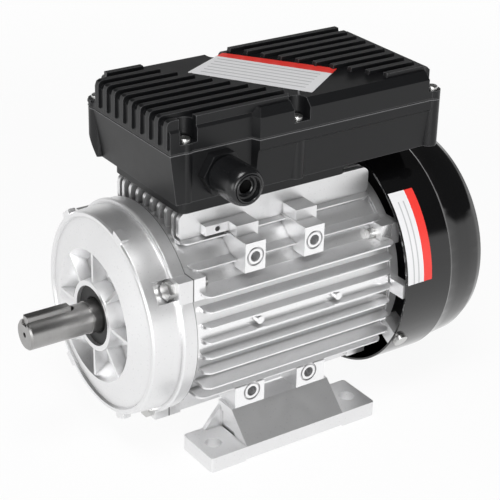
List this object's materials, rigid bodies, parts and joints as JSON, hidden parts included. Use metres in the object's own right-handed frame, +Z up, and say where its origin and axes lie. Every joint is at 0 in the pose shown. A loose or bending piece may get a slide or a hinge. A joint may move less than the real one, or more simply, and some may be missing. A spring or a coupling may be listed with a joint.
{
  "type": "single-phase electric motor",
  "caption": "Foot-mounted single-phase electric motor with a finned aluminium frame, a keyed shaft, a ribbed capacitor box with a cable gland and a black fan cowl.",
  "frame": {"origin": "floor plane under the feet, in the middle of the four foot holes", "axes": "+X along the motor axis from the drive end to the fan, so the shaft end points to -X; -Y is the cable gland side; +Z is up"},
  "size_m": [0.29, 0.1546, 0.2116],
  "materials": {
    "cast_aluminium": "satin, as cast and bead blasted",
    "turned_steel": "turned and ground",
    "zinc_steel": "zinc plated",
    "core_steel": "stacked laminations",
    "winding": "lacquered copper wire",
    "rotor_aluminium": "die cast",
    "box_plastic": "satin, lightly grained",
    "gland_plastic": "satin",
    "cowl_paint": "gloss black paint on steel sheet",
    "fan_plastic": "moulded",
    "seal_rubber": "matt",
    "collar_plastic": "moulded",
    "board_plastic": "pressed",
    "contact_brass": "plain",
    "can_aluminium": "drawn can",
    "can_plastic": "smooth",
    "cage_steel": "pressed sheet"
  },
  "bodies": {
    "stator": {"frame_housing": "cast_aluminium", "foot_near": "cast_aluminium", "foot_far": "cast_aluminium", "foot_bolts": "zinc_steel", "drive_endshield": "cast_aluminium", "drive_endshield_bolts": "zinc_steel", "fan_endshield": "cast_aluminium", "fan_endshield_bolts": "zinc_steel", "fan_cowl": "cowl_paint", "cowl_screws": "zinc_steel", "stator_core": "core_steel", "drive_winding_head": "winding", "fan_winding_head": "winding", "drive_bearing_outer_ring": "turned_steel", "fan_bearing_outer_ring": "turned_steel", "shaft_seal": "seal_rubber", "wave_spring": "cage_steel", "switch_plate": "board_plastic", "box_base": "box_plastic", "base_gasket": "seal_rubber", "box_screws": "zinc_steel", "cover_gasket": "seal_rubber", "box_cover": "box_plastic", "cover_screws": "zinc_steel", "gland_body": "gland_plastic", "gland_nut": "gland_plastic", "gland_seal": "seal_rubber", "gland_locknut": "gland_plastic", "terminal_board": "board_plastic", "terminal_studs": "contact_brass", "terminal_links": "contact_brass", "run_capacitor": "can_aluminium", "start_capacitor": "can_plastic", "capacitor_clamps": "zinc_steel"},
    "rotor": {"shaft": "turned_steel", "shaft_key": "turned_steel", "rotor_core": "core_steel", "rotor_end_rings": "rotor_aluminium", "drive_bearing_inner_ring": "turned_steel", "fan_bearing_inner_ring": "turned_steel", "cooling_fan": "fan_plastic", "fan_circlip": "zinc_steel", "governor_plate": "zinc_steel"},
    "drive_bearing_set": {"drive_bearing_cage": "cage_steel", "drive_bearing_balls": "turned_steel"},
    "fan_bearing_set": {"fan_bearing_cage": "cage_steel", "fan_bearing_balls": "turned_steel"},
    "collar": {"switch_collar": "collar_plastic"},
    "upper_weight": {"upper_governor_weight": "zinc_steel"},
    "lower_weight": {"lower_governor_weight": "zinc_steel"},
    "arm": {"contact_arm": "contact_brass"}
  },
  "joints": [
    {"name": "rotor_spin", "type": "hinge", "parent": "stator", "child": "rotor", "pos_m": [0, 0, 0.08], "axis": [1, 0, 0], "continuous": true},
    {"name": "drive_bearing_spin", "type": "hinge", "parent": "stator", "child": "drive_bearing_set", "pos_m": [-0.076, 0, 0.08], "axis": [1, 0, 0], "continuous": true},
    {"name": "fan_bearing_spin", "type": "hinge", "parent": "stator", "child": "fan_bearing_set", "pos_m": [0.087, 0, 0.08], "axis": [1, 0, 0], "continuous": true},
    {"name": "collar_slide", "type": "slide", "parent": "rotor", "child": "collar", "axis": [1, 0, 0], "range_m": [0, 0.003], "stiffness_N_per_m": 600},
    {"name": "upper_weight_swing", "type": "hinge", "parent": "rotor", "child": "upper_weight", "pos_m": [0.0615, 0, 0.1032], "axis": [0, -1, 0], "range_deg": [0, 25.1]},
    {"name": "lower_weight_swing", "type": "hinge", "parent": "rotor", "child": "lower_weight", "pos_m": [0.0615, 0, 0.0568], "axis": [0, 1, 0], "range_deg": [0, 25.1]},
    {"name": "contact_arm_swing", "type": "hinge", "parent": "stator", "child": "arm", "pos_m": [0.0718, -0.0335, 0.08], "axis": [0, 0, -1], "range_deg": [0, 5.76]}
  ],
  "couplings": [
    {"joint": "drive_bearing_spin", "follows": "rotor_spin", "ratio": 0.383},
    {"joint": "fan_bearing_spin", "follows": "rotor_spin", "ratio": 0.383},
    {"joint": "upper_weight_swing", "follows": "collar_slide", "rad_per_m": 145.44},
    {"joint": "lower_weight_swing", "follows": "collar_slide", "rad_per_m": 145.44},
    {"joint": "contact_arm_swing", "follows": "collar_slide", "rad_per_m": 33.223}
  ]
}
